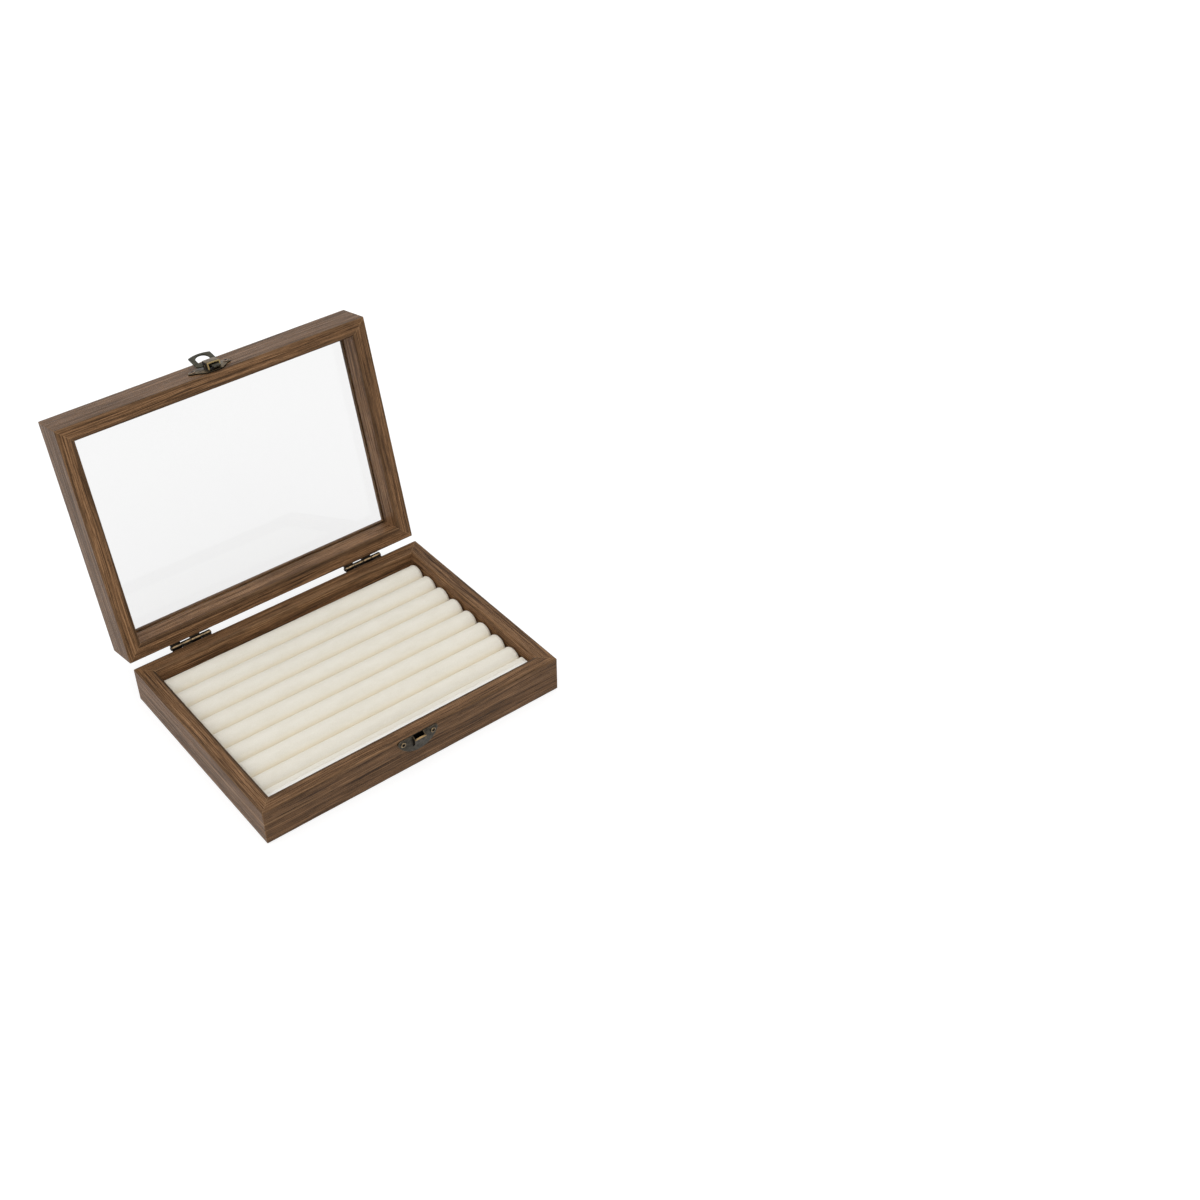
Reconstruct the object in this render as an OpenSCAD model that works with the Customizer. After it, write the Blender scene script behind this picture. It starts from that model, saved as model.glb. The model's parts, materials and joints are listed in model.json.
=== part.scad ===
// Ring display box: a shallow wooden tray of padded ring rolls under a hinged glass lid.
// Millimetres, +Z up. The origin is the centre of the underside, X runs along the hinges and
// -Y is the front, where the latch is. The lid stands open on the stops of its hinges.

/* [Box] */
// Width along the hinges
box_w = 200; // [160:1:260]
// Depth from front to back
box_d = 150; // [120:1:200]
// Height of the base walls
base_h = 24; // [22:0.5:40]
// Height of the lid walls
lid_h = 25; // [24:0.5:40]
// Thickness of the wall rails
rail_t = 9.5; // [8:0.5:14]
// Radius worn on the long edges of the rails
arris_r = 0.8; // [0.3:0.1:1.5]
// How far the lid leans back from shut
lid_angle = 103; // [92:1:110]

/* [Base] */
// Thickness of the base panel
panel_t = 3; // [2:0.5:5]
// Width of the rebate that holds the base panel
panel_rebate = 4.5; // [2:0.5:6]
// Thickness of the covered board under the rolls
board_t = 1.2; // [0.8:0.1:3]
// Slack around the panel and the board
panel_fit = 0.2; // [0.1:0.05:0.5]

/* [Lid pane] */
// Thickness of the glass
glass_t = 2; // [1.5:0.1:3]
// Distance from the lid's rim to the glass groove
groove_drop = 15.5; // [12:0.5:16]
// Room in the groove in front of the glass
groove_slack = 1; // [0.2:0.1:1.5]
// Depth of the groove into the rail
groove_d = 4; // [2:0.5:5]
// Gap between the edge of the glass and the end of its groove
glass_fit = 0.5; // [0.2:0.1:1.5]
// Width of the bevel around the outside of the pane
bevel_w = 3; // [1:0.5:5]
// Height of that bevel
bevel_h = 3.8; // [1:0.1:5]

/* [Ring rolls] */
// Gap between two neighbouring rolls
roll_gap = 0.1; // [0.05:0.05:1]
// Gap between the last roll and the back wall
roll_back_gap = 0.5; // [0.2:0.1:3]
// Gap between the ends of the rolls and the side walls
roll_end_gap = 1; // [0.5:0.1:5]
// Radius on the ends of the rolls
roll_end_r = 1.5; // [0.5:0.1:3]
// How far a roll is flattened where it is glued down
roll_flat = 0.2; // [0.1:0.05:0.5]
// Width of the pad between the rolls and the front wall
pad_w = 12.2; // [6:0.1:20]
// Height of the front pad
pad_h = 13.3; // [6:0.1:16]
// Radius on the edge of the front pad
pad_r = 3; // [1:0.1:5]

/* [Hinges] */
// Length of a hinge
hinge_len = 26; // [18:1:40]
// Distance from the side of the box to the middle of a hinge
hinge_inset = 39; // [24:1:60]
// Width of a leaf from the hinge line
leaf_w = 10; // [8:0.5:14]
// Thickness of the leaves
leaf_t = 0.8; // [0.6:0.1:1.2]
// Radius of the knuckles
knuckle_r = 1.6; // [1.4:0.1:2.2]
// Radius of the hinge pin
pin_r = 0.75; // [0.6:0.05:1]
// Running clearance around the pins
pin_fit = 0.05; // [0.02:0.01:0.1]
// Gap between two knuckles
knuckle_gap = 0.2; // [0.1:0.05:0.5]
// Length of the stop lugs
stop_len = 3.6; // [3:0.1:5]

/* [Latch] */
// Half the width of the latch plates
plate_half_w = 13.5; // [12:0.5:18]
// Thickness of the latch plates
plate_t = 0.8; // [0.6:0.1:1.2]
// Radius of the ears of the plate on the lid
ear_r = 2.6; // [2.2:0.1:3.2]
// Height of the ears' screws above the lid's rim
case_screw_z = 9.5; // [8:0.5:12]
// Height of the plate's straight top above the rim
case_top = 13.4; // [12.5:0.1:15]
// Height of the strap's upper edge above the rim
strap_z1 = 8.5; // [7.8:0.1:9.4]
// Thickness of the strap
strap_t = 0.7; // [0.5:0.1:1]
// Half the width of the strap over the lever
strap_half_w = 4; // [3.6:0.1:5]
// Height of the strap off the lid
strap_h = 5.9; // [5.5:0.1:7.5]
// Height of the lever's pin above the lid's rim
pivot_z = 5.3; // [4.5:0.1:7]
// Distance of the lever's pin from the face of the lid
pivot_s = 3.1; // [2.8:0.1:3.4]
// Radius of the lever's pin
lever_pin_r = 0.7; // [0.5:0.05:0.9]
// Thickness of the lever
lever_t = 0.75; // [0.6:0.05:0.9]
// Half the width of the thumb tab at its tips
tab_half_w = 7.1; // [6:0.1:9]
// Length of the thumb tab
tab_len = 12.7; // [10:0.1:17]
// Rise of the thumb tab off the lid, in degrees
tab_tilt = 18; // [10:1:24]
// Width of the arms on both sides of the tab's window
tab_arm = 2.5; // [1.8:0.1:3]
// Half the width of the lever's tongue
tongue_half_w = 2.2; // [1.6:0.1:2.6]
// How far the tongue reaches below the lid's rim
tongue_reach = 3.7; // [3:0.1:5]
// Radius of the rolled lip that the tongue hooks under
lip_r = 0.5; // [0.4:0.05:0.6]
// How far the lip lies below the lid's rim
lip_z = 2; // [1.6:0.1:2.4]
// How far the keeper's widest line lies below the lid's rim
keeper_wide_z = 2.6; // [2.2:0.1:4]
// Depth of the keeper's arc below its widest line
keeper_arc_d = 9.7; // [8.5:0.1:12]
// Half the width of the keeper's pocket
pocket_half_w = 3.8; // [2.8:0.1:4]
// Thickness of the pocket's walls
pocket_t = 0.5; // [0.5:0.1:0.8]
// Radius of the wire of the lever's spring
wire_r = 0.2; // [0.15:0.05:0.25]
// Number of turns in the spring
spring_turns = 4; // [3:1:4]

/* [Screws] */
// Radius of the screw shanks
screw_r = 0.9; // [0.7:0.05:1.2]
// Radius of the screw heads
screw_head_r = 1.75; // [1.4:0.05:2.2]
// Height of the screw heads
screw_head_h = 0.5; // [0.4:0.1:1.2]
// Length of the screws under the head
screw_len = 6.5; // [4:0.5:7]
// Clearance around the screw shanks
screw_fit = 0.05; // [0.02:0.01:0.2]

/* [Hidden] */
$fn = 48;
ROLLS = 8;

wood = "#6b4f3b";
velvet = "#e2dccd";
bronze = "#5a5042";

hw = box_w / 2;
hd = box_d / 2;
inner_hw = hw - rail_t;
inner_hd = hd - rail_t;
eps = 0.01;
cut = 1;                                   // how far a cutting solid runs past what it cuts

// Hinge line: the leaves lie on the back faces and the knuckles stand just off them.
axis_off = leaf_t - 0.2 + knuckle_r;
axis_y = hd + axis_off;
axis_z = base_h;
hinge_x = hw - hinge_inset;
knuckles = 4;
knuckle_pitch = hinge_len / knuckles;
leaf_screw_x = hinge_len * 0.31;
leaf_screw_z = leaf_w * 0.62;
stop_gap = 0.02;                           // between a stop lug and the leaf it rests on
notch = knuckle_r + 0.2;                   // leaf cut back where the other leaf's knuckle turns

// Lining: the rolls share the tray's depth between the front pad and the back wall.
board_z = panel_t;
roll_z0 = board_z + board_t;
roll_pitch = (2 * inner_hd - roll_back_gap - pad_w - roll_gap) / ROLLS;
roll_r = (roll_pitch - roll_gap) / 2;
roll_z = roll_z0 + roll_r - roll_flat;
roll_half_len = inner_hw - roll_end_gap;
function roll_y(i) = inner_hd - roll_back_gap - roll_pitch * (i - 0.5);

// Glass, measured up from the lid's rim
groove_w = glass_t + groove_slack;
groove_top = groove_drop + groove_w;
glass_z = base_h + groove_top - glass_t;

// Latch places: s is the distance out from the front face, z is up from the lid's rim.
case_screw_x = plate_half_w - ear_r;
case_z0 = 1.2;                             // foot of the latch case above the rim
keeper_top = 0.3;                          // gap between the keeper's top edge and the rim
keeper_screw_x = plate_half_w - 3.4;
keeper_screw_z = keeper_wide_z + 0.9;
pocket_s = pivot_s + 0.2;                  // outer face of the pocket's front wall
lip_s = pocket_s - 0.05;
pocket_z1 = lip_z + 3.2;                   // foot of the pocket's front wall
pocket_z2 = pocket_z1 + 3.4;               // where the pocket's ramp meets the plate
tongue_s0 = lip_s + lip_r + 0.1;           // inner face of the tongue
tongue_s1 = tongue_s0 + lever_t;
arm_s0 = plate_t + 0.8;                    // inner face of the lever's arm
arm_s1 = arm_s0 + lever_t;
arm_top = 10;
slot_half_w = 1.15;                        // slot in the lever for its spring
coil_r = lever_pin_r + 0.2 + wire_r;

echo(roll_pitch = roll_pitch, roll_r = roll_r, roll_top = roll_z + roll_r);

// Points of an arc of radius r about (x, y), from angle a0 to a1
function arc(x, y, r, a0, a1, n = 6) =
    [for (i = [0 : n]) let (a = a0 + (a1 - a0) * i / n) [x + r * cos(a), y + r * sin(a)]];

// Carries a piece of the shut lid to where it stands open
module opened() {
    translate([0, axis_y, axis_z]) rotate([-lid_angle, 0, 0]) translate([0, -axis_y, -axis_z]) children();
}

// Rail sections: u runs from the outer face inwards, v up
function base_section() = concat(
    arc(arris_r, arris_r, arris_r, 270, 180),
    arc(arris_r, base_h - arris_r, arris_r, 180, 90),
    arc(rail_t - arris_r, base_h - arris_r, arris_r, 90, 0),
    [[rail_t, panel_t], [rail_t - panel_rebate, panel_t], [rail_t - panel_rebate, 0]]);

function lid_section() = concat(
    arc(rail_t - arris_r, arris_r, arris_r, 360, 270),
    arc(arris_r, arris_r, arris_r, 270, 180),
    arc(arris_r, lid_h - arris_r, arris_r, 180, 90),
    [[rail_t - bevel_w, lid_h], [rail_t, lid_h - bevel_h],
     [rail_t, groove_top], [rail_t - groove_d, groove_top],
     [rail_t - groove_d, groove_drop], [rail_t, groove_drop]]);

// A rail of the given length, outer face at y = 0 and inner face towards +Y, mitred at both ends
module mitred_rail(section, length, height) {
    intersection() {
        translate([-length / 2, 0, 0]) rotate([90, 0, 90]) linear_extrude(length) polygon(section);
        translate([0, 0, -cut]) linear_extrude(height + 2 * cut)
            polygon([[-length / 2, 0], [length / 2, 0], [length / 2 - rail_t, rail_t],
                     [-length / 2 + rail_t, rail_t]]);
    }
}

// Puts a rail made at the front on the side turned by the given angle
module on_side(angle) {
    side_off = (angle == 90 || angle == 270) ? hw : hd;
    rotate([0, 0, angle]) translate([0, -side_off, 0]) children();
}

// Pilot hole into a face that looks along -Y or +Y (dir is -1 or 1)
module pilot(x, y, z, dir) {
    translate([x, y + dir * cut, z]) rotate([90 * dir, 0, 0])
        cylinder(h = screw_len - leaf_t + cut + 0.3, r = screw_r + screw_fit);
}

module base_rail(angle) {
    length = (angle == 90 || angle == 270) ? box_d : box_w;
    on_side(angle) mitred_rail(base_section(), length, base_h);
}

module lid_rail(angle) {
    length = (angle == 90 || angle == 270) ? box_d : box_w;
    translate([0, 0, base_h]) on_side(angle) mitred_rail(lid_section(), length, lid_h);
}

module base_rail_front() {
    color(wood) difference() {
        base_rail(0);
        for (x = [-1, 1]) pilot(x * keeper_screw_x, -hd, base_h - keeper_screw_z, -1);
    }
}

module base_rail_back() {
    color(wood) difference() {
        base_rail(180);
        for (h = [-1, 1], x = [-1, 1])
            pilot(h * hinge_x + x * leaf_screw_x, hd, base_h - leaf_screw_z, 1);
    }
}

module base_rail_left() color(wood) base_rail(270);

module base_rail_right() color(wood) base_rail(90);

module lid_rail_front() {
    color(wood) opened() difference() {
        lid_rail(0);
        for (x = [-1, 1]) pilot(x * case_screw_x, -hd, base_h + case_screw_z, -1);
    }
}

module lid_rail_back() {
    color(wood) opened() difference() {
        lid_rail(180);
        for (h = [-1, 1], x = [-1, 1])
            pilot(h * hinge_x + x * leaf_screw_x, hd, base_h + leaf_screw_z, 1);
    }
}

module lid_rail_left() color(wood) opened() lid_rail(270);

module lid_rail_right() color(wood) opened() lid_rail(90);

module sheet(half_w, half_d, z, t) {
    translate([-half_w, -half_d, z]) cube([2 * half_w, 2 * half_d, t]);
}

module base_panel() {
    color(wood) sheet(inner_hw + panel_rebate - panel_fit, inner_hd + panel_rebate - panel_fit, 0, panel_t);
}

module lining_board() {
    color(velvet) sheet(inner_hw - panel_fit, inner_hd - panel_fit, board_z, board_t);
}

module glass_pane() {
    reach = groove_d - glass_fit;
    color("#e8f2f0", 0.4) opened() sheet(inner_hw + reach, inner_hd + reach, glass_z, glass_t);
}

// One foam roll, its ends rounded and its underside flat on the board
module ring_roll(i) {
    color(velvet) difference() {
        translate([-roll_half_len, roll_y(i), roll_z]) rotate([0, 90, 0]) rotate_extrude()
            polygon(concat([[0, 0]],
                           arc(roll_r - roll_end_r, roll_end_r, roll_end_r, -90, 0),
                           arc(roll_r - roll_end_r, 2 * roll_half_len - roll_end_r, roll_end_r, 0, 90),
                           [[0, 2 * roll_half_len]]));
        translate([-hw, roll_y(i) - roll_pitch, 0]) cube([box_w, 2 * roll_pitch, roll_z0]);
    }
}

// Pad between the first roll and the front wall, its long back edge rounded
module front_pad() {
    y0 = -inner_hd + panel_fit;
    width = pad_w - panel_fit;
    color(velvet) translate([-roll_half_len, y0, roll_z0]) rotate([90, 0, 90])
        linear_extrude(2 * roll_half_len)
            polygon(concat([[0, 0], [width, 0]],
                           arc(width - pad_r, pad_h - pad_r, pad_r, 0, 90),
                           [[0, pad_h]]));
}

// x of the start of knuckle k (0 to 3), from the left end of a hinge
function knuckle_x(k) = -hinge_len / 2 + k * knuckle_pitch;

module knuckle_barrel(k, bore) {
    gap = knuckle_gap / 2;
    translate([knuckle_x(k) + gap, 0, 0]) rotate([0, 90, 0]) difference() {
        cylinder(h = knuckle_pitch - knuckle_gap, r = knuckle_r);
        translate([0, 0, -cut]) cylinder(h = knuckle_pitch + 2 * cut, r = bore);
    }
}

// A leaf about the hinge line, hanging down from it (dir -1) or rising from it (dir 1), on the -Y side
module leaf(own, dir, bore) {
    gap = knuckle_gap / 2;
    difference() {
        union() {
            translate([-hinge_len / 2, -axis_off, dir > 0 ? notch : -leaf_w])
                cube([hinge_len, leaf_t, leaf_w - notch]);
            for (k = own) translate([knuckle_x(k) + gap, -axis_off, dir > 0 ? 0 : -notch - eps]) {
                cube([knuckle_pitch - knuckle_gap, leaf_t, notch + eps]);
                translate([0, 0, dir > 0 ? 0 : notch + eps - knuckle_r])
                    cube([knuckle_pitch - knuckle_gap, axis_off, knuckle_r]);
            }
        }
        translate([-hinge_len, 0, 0]) rotate([0, 90, 0]) cylinder(h = 2 * hinge_len, r = knuckle_r - eps);
        for (x = [-1, 1]) translate([x * leaf_screw_x, -axis_off - cut, dir * leaf_screw_z])
            rotate([-90, 0, 0]) cylinder(h = leaf_t + 2 * cut, r = screw_r + screw_fit);
    }
    for (k = own) knuckle_barrel(k, bore);
}

module base_leaf(side) {
    color(bronze) translate([side * hinge_x, axis_y, axis_z]) leaf([1, 3], -1, pin_r);
}

// The lid's leaf has a lug on each knuckle that comes to rest on the other leaf when the lid is open.
module stop_lug(k) {
    rotate([lid_angle, 0, 0]) translate([knuckle_x(k) + knuckle_gap, -axis_off + leaf_t + stop_gap, -stop_len])
        cube([knuckle_pitch - 2 * knuckle_gap, leaf_t, stop_len - pin_r - 0.15]);
}

module lid_leaf(side) {
    color(bronze) opened() translate([side * hinge_x, axis_y, axis_z]) {
        leaf([0, 2], 1, pin_r + pin_fit);
        for (k = [0, 2]) stop_lug(k);
    }
}

module hinge_pin(side) {
    head = 0.5;
    color(bronze) translate([side * hinge_x - hinge_len / 2 - head, axis_y, axis_z]) rotate([0, 90, 0]) {
        cylinder(h = hinge_len + 2 * head - knuckle_gap / 2, r = pin_r);
        cylinder(h = head, r = pin_r + 0.3);
        translate([0, 0, hinge_len + head - knuckle_gap / 2]) cylinder(h = head, r = pin_r + 0.3);
    }
}

// A round-headed screw with its head standing on the plane z = 0 and its shank below
module screw() {
    difference() {
        union() {
            cylinder(h = screw_head_h * 0.5, r = screw_head_r);
            translate([0, 0, screw_head_h * 0.5 - eps])
                cylinder(h = screw_head_h * 0.5 + eps, r1 = screw_head_r, r2 = screw_head_r * 0.8);
            translate([0, 0, -screw_len]) cylinder(h = screw_len + eps, r = screw_r);
        }
        translate([0, 0, screw_head_h * 0.35]) cylinder(h = screw_head_h, r = screw_head_r * 0.45, $fn = 6);
    }
}

// A screw into a face that looks along -Y or +Y (dir is -1 or 1), through a plate of thickness t
module face_screw(x, y, z, dir, t) {
    translate([x, y + dir * t, z]) rotate([-90 * dir, 0, 0]) screw();
}

module base_hinge_screws() {
    color(bronze) for (h = [-1, 1], x = [-1, 1])
        face_screw(h * hinge_x + x * leaf_screw_x, hd, base_h - leaf_screw_z, 1, leaf_t);
}

module lid_hinge_screws() {
    color(bronze) opened() for (h = [-1, 1], x = [-1, 1])
        face_screw(h * hinge_x + x * leaf_screw_x, hd, base_h + leaf_screw_z, 1, leaf_t);
}

// Frame for the latch: x across, y up from the rim, z out from the front face
module latch_frame() {
    translate([0, -hd, base_h]) rotate([90, 0, 0]) children();
}

// A profile drawn as [s, z] points and extruded across the latch from x0 to x1
module across(profile, x0, x1) {
    translate([x0, 0, 0]) rotate([90, 0, 90]) linear_extrude(x1 - x0)
        polygon([for (p = profile) [p[1], p[0]]]);
}

// A cylinder along x at distance s and height z
module bar(s, z, r, x0, x1) {
    translate([x0, z, s]) rotate([0, 90, 0]) cylinder(h = x1 - x0, r = r);
}

module case_outline() {
    for (x = [-1, 1]) translate([x * case_screw_x, case_screw_z]) circle(r = 2.6);
    polygon([[-case_screw_x, case_screw_z + 2.6], [-strap_half_w, case_top], [strap_half_w, case_top],
             [case_screw_x, case_screw_z + 2.6], [case_screw_x, case_screw_z - 2.6],
             [strap_half_w + 1, case_z0], [-strap_half_w - 1, case_z0], [-case_screw_x, case_screw_z - 2.6]]);
}

module latch_case() {
    inner = strap_half_w - strap_t;
    color(bronze) opened() latch_frame() difference() {
        union() {
            linear_extrude(plate_t) difference() {
                case_outline();
                for (x = [-1, 1]) translate([x * case_screw_x, case_screw_z]) circle(r = screw_r + screw_fit);
            }
            translate([-strap_half_w, case_z0, plate_t - eps])
                cube([2 * strap_half_w, strap_z1 - case_z0, strap_h - plate_t + eps]);
        }
        translate([-inner, case_z0 - cut, plate_t])
            cube([2 * inner, strap_z1 - case_z0 + 2 * cut, strap_h - plate_t - strap_t]);
        bar(pivot_s, pivot_z, lever_pin_r, -strap_half_w - cut, strap_half_w + cut);
    }
}

module latch_case_screws() {
    color(bronze) opened() for (x = [-1, 1])
        face_screw(x * case_screw_x, -hd, base_h + case_screw_z, -1, plate_t);
}

module latch_pin() {
    head = 0.4;
    color(bronze) opened() latch_frame() {
        bar(pivot_s, pivot_z, lever_pin_r, -strap_half_w - head, strap_half_w + head);
        for (x = [-strap_half_w - head, strap_half_w])
            bar(pivot_s, pivot_z, lever_pin_r + 0.35, x, x + head);
    }
}

// A rod of the wire between two [s, z] points at x
module wire_leg(x, from, to) {
    d = to - from;
    translate([x, from[1], from[0]]) rotate([-atan2(d[1], d[0]), 0, 0])
        cylinder(h = norm(d), r = wire_r, $fn = 16);
}

// Section through one side of the close-wound coil, the turns just sunk into each other
function coil_section(pitch) = [for (side = [0, 180], i = [0 : spring_turns - 1])
    let (turn = side == 0 ? i : spring_turns - 1 - i)
        each arc(coil_r, (turn - (spring_turns - 1) / 2) * pitch, wire_r, side - 60, side + 60)];

module latch_spring() {
    pitch = 1.8 * wire_r;
    span = (spring_turns - 1) * pitch;
    tail_s = arm_s0 - wire_r - 0.05;
    color("#8a8578") opened() latch_frame() {
        translate([0, pivot_z, pivot_s]) rotate([0, 90, 0]) rotate_extrude() polygon(coil_section(pitch));
        wire_leg(-span / 2, [pivot_s - coil_r, pivot_z], [plate_t + wire_r + 0.05, pivot_z - 3]);
        wire_leg(span / 2, [pivot_s - coil_r, pivot_z], [tail_s, pivot_z + 1.9]);
        wire_leg(span / 2, [tail_s, pivot_z + 1.9], [tail_s, pivot_z + 4]);
        translate([span / 2, pivot_z + 1.9, tail_s]) sphere(r = wire_r * 1.1, $fn = 16);
    }
}

// Thumb tab in its own plane: x across, y along it from the knee
module tab_outline() {
    neck = strap_half_w - strap_t - 0.3;   // just narrower than the arm that it grows from
    bow = 1.5;                             // height of the arched end
    side_y = tab_len - bow;
    window_r = tab_half_w - tab_arm - 0.4;
    window_y = side_y - window_r - 0.2;
    difference() {
        polygon(concat([[-neck, 0], [-tab_half_w + 0.9, 0.4], [-tab_half_w, 1.3], [-tab_half_w, side_y]],
                       [for (i = [1 : 7]) let (t = i / 8)
                           [tab_half_w * (2 * t - 1), side_y + bow * 4 * t * (1 - t)]],
                       [[tab_half_w, side_y], [tab_half_w, 1.3], [tab_half_w - 0.9, 0.4], [neck, 0]]));
        // arched window: straight foot, round head
        translate([0, window_y]) {
            circle(r = window_r);
            translate([-window_r, -window_r * 0.8]) square([2 * window_r, window_r * 0.8]);
        }
    }
}

module latch_lever() {
    half_w = strap_half_w - strap_t - 0.2;
    eye = tongue_s1 - pivot_s - 0.05;
    hook_z = -tongue_reach;
    color(bronze) opened() latch_frame() difference() {
        union() {
            // rolled eye around the pin
            bar(pivot_s, pivot_z, eye, -half_w, half_w);
            // tongue that reaches below the rim, with its hook
            across([[tongue_s1, pivot_z], [tongue_s1, hook_z + 0.6], [tongue_s1 - 0.4, hook_z],
                    [tongue_s0 - 0.1, hook_z + 0.2], [pocket_s + 0.05, hook_z + 0.7],
                    [pocket_s + 0.05, -lip_z - lip_r - 0.15], [tongue_s0, -lip_z - lip_r - 0.15],
                    [tongue_s0, pivot_z]], -tongue_half_w, tongue_half_w);
            // arm along the plate to the knee of the tab
            across([[arm_s0, pivot_z + 0.6], [arm_s0, arm_top], [arm_s1, arm_top], [arm_s1, pivot_z + 0.6]],
                   -half_w, half_w);
            translate([0, arm_top, arm_s0]) rotate([tab_tilt, 0, 0]) translate([0, -0.12, 0])
                linear_extrude(lever_t) tab_outline();
        }
        bar(pivot_s, pivot_z, lever_pin_r + pin_fit, -strap_half_w, strap_half_w);
        // slot for the spring
        translate([-slot_half_w, pivot_z - eye - 0.1, 0]) cube([2 * slot_half_w, 2 * eye + 0.9, strap_h]);
    }
}

module keeper() {
    inner = pocket_half_w - pocket_t;
    wall_s = pocket_s - pocket_t;
    arc_r = (pow(plate_half_w, 2) + pow(keeper_arc_d, 2)) / (2 * keeper_arc_d);
    foot = keeper_wide_z + keeper_arc_d;
    corner = 2;                            // rounding of the plate's two upper corners
    color(bronze) latch_frame() difference() {
        union() {
            linear_extrude(plate_t) difference() {
                intersection() {
                    translate([0, arc_r - foot]) circle(r = arc_r, $fn = 96);
                    polygon(concat([[-plate_half_w, -foot - cut], [plate_half_w, -foot - cut]],
                                   arc(plate_half_w - corner, -keeper_top - corner, corner, 0, 90),
                                   arc(corner - plate_half_w, -keeper_top - corner, corner, 90, 180)));
                }
                for (x = [-1, 1]) translate([x * keeper_screw_x, -keeper_screw_z])
                    circle(r = screw_r + screw_fit);
            }
            // pocket pressed out of the plate, open at the top
            across([[plate_t - eps, -keeper_top], [pocket_s, -lip_z], [pocket_s, -pocket_z1],
                    [plate_t - eps, -pocket_z2]], -pocket_half_w, pocket_half_w);
            bar(lip_s, -lip_z, lip_r, -pocket_half_w, pocket_half_w);
        }
        across([[-cut, cut], [wall_s, cut], [wall_s, -pocket_z1 + 0.3], [-cut, -pocket_z2]], -inner, inner);
    }
}

module keeper_screws() {
    color(bronze) for (x = [-1, 1])
        face_screw(x * keeper_screw_x, -hd, base_h - keeper_screw_z, -1, plate_t);
}

base_rail_front();
base_rail_back();
base_rail_left();
base_rail_right();
base_panel();
lining_board();
ring_roll(1);  // ring_roll_1
ring_roll(2);  // ring_roll_2
ring_roll(3);  // ring_roll_3
ring_roll(4);  // ring_roll_4
ring_roll(5);  // ring_roll_5
ring_roll(6);  // ring_roll_6
ring_roll(7);  // ring_roll_7
ring_roll(8);  // ring_roll_8
front_pad();
lid_rail_front();
lid_rail_back();
lid_rail_left();
lid_rail_right();
glass_pane();
base_leaf(-1);  // base_leaf_left
base_leaf(1);  // base_leaf_right
lid_leaf(-1);  // lid_leaf_left
lid_leaf(1);  // lid_leaf_right
hinge_pin(-1);  // hinge_pin_left
hinge_pin(1);  // hinge_pin_right
base_hinge_screws();
lid_hinge_screws();
latch_case();
latch_case_screws();
latch_pin();
latch_spring();
latch_lever();
keeper();
keeper_screws();
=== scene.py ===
import functools
import json
import math

import bmesh
import bpy
import numpy as np
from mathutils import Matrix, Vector


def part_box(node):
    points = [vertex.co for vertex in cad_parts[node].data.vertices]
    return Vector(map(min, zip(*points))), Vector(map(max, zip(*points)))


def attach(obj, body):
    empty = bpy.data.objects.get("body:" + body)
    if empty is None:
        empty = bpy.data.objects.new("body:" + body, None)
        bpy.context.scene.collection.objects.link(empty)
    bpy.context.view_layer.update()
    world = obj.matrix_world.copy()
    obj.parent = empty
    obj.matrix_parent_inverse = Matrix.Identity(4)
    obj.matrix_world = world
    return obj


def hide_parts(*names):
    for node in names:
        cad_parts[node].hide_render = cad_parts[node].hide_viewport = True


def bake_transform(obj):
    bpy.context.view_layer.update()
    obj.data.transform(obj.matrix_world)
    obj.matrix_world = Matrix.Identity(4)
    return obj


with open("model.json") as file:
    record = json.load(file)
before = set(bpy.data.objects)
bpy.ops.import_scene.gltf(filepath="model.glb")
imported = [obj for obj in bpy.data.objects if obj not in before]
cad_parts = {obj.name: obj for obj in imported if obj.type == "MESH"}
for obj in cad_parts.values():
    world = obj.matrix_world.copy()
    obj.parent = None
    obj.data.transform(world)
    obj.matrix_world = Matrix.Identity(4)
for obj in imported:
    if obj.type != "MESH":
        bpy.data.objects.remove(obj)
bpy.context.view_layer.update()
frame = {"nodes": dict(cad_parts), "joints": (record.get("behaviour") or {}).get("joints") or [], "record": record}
mm = 0.001
hinge = next(joint for joint in frame["joints"] if joint["name"] == "lid_hinge")
print("frame loaded")


# sizes that the frame gives
lowRail, highRail = (np.array(corner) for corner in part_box("base_rail_front"))
box = {
    "halfWidth": highRail[0],  # outer faces of the walls
    "halfDepth": -lowRail[1],
    "baseHeight": highRail[2],
    "lidHeight": 25 * mm,
    "railThickness": highRail[1] - lowRail[1],
}
hingeLine = np.array(hinge["pos_m"])
lidSwing = math.radians(hinge["range_deg"][1])
innerHalfDepth = box["halfDepth"] - box["railThickness"]


def openLid(points):
    # turns points of the shut lid about the hinge line to where the lid stands open
    c, s = math.cos(lidSwing), math.sin(lidSwing)
    turn = np.array([[1, 0, 0], [0, c, s], [0, -s, c]])
    return (np.asarray(points, float) - hingeLine) @ turn.T + hingeLine


def placed(name, data):
    # new object in the scene, at the origin
    made = bpy.data.objects.new(name, data)
    bpy.context.scene.collection.objects.link(made)
    return made


def linear(code):
    # sRGB hex such as "7a5a40" to the linear colour that shaders use
    part = np.array([int(code[i:i + 2], 16) for i in (0, 2, 4)]) / 255
    part = np.where(part <= 0.04045, part / 12.92, ((part + 0.055) / 1.055) ** 2.4)
    return (*part, 1.0)


def smoothNoise(seed, count, spacing, length):
    # random heights from -1 to 1 every spacing metres, joined by cosine steps and read at count even places
    knots = np.random.RandomState(seed).uniform(-1, 1, int(length / spacing) + 3)
    at = np.linspace(0, length / spacing, count)
    low = np.floor(at).astype(int)
    ease = (1 - np.cos((at - low) * math.pi)) / 2
    return knots[low] * (1 - ease) + knots[low + 1] * ease


nearReach = 0.35 * mm  # how far from a rounded corner a point of an outline still counts as near it


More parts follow.
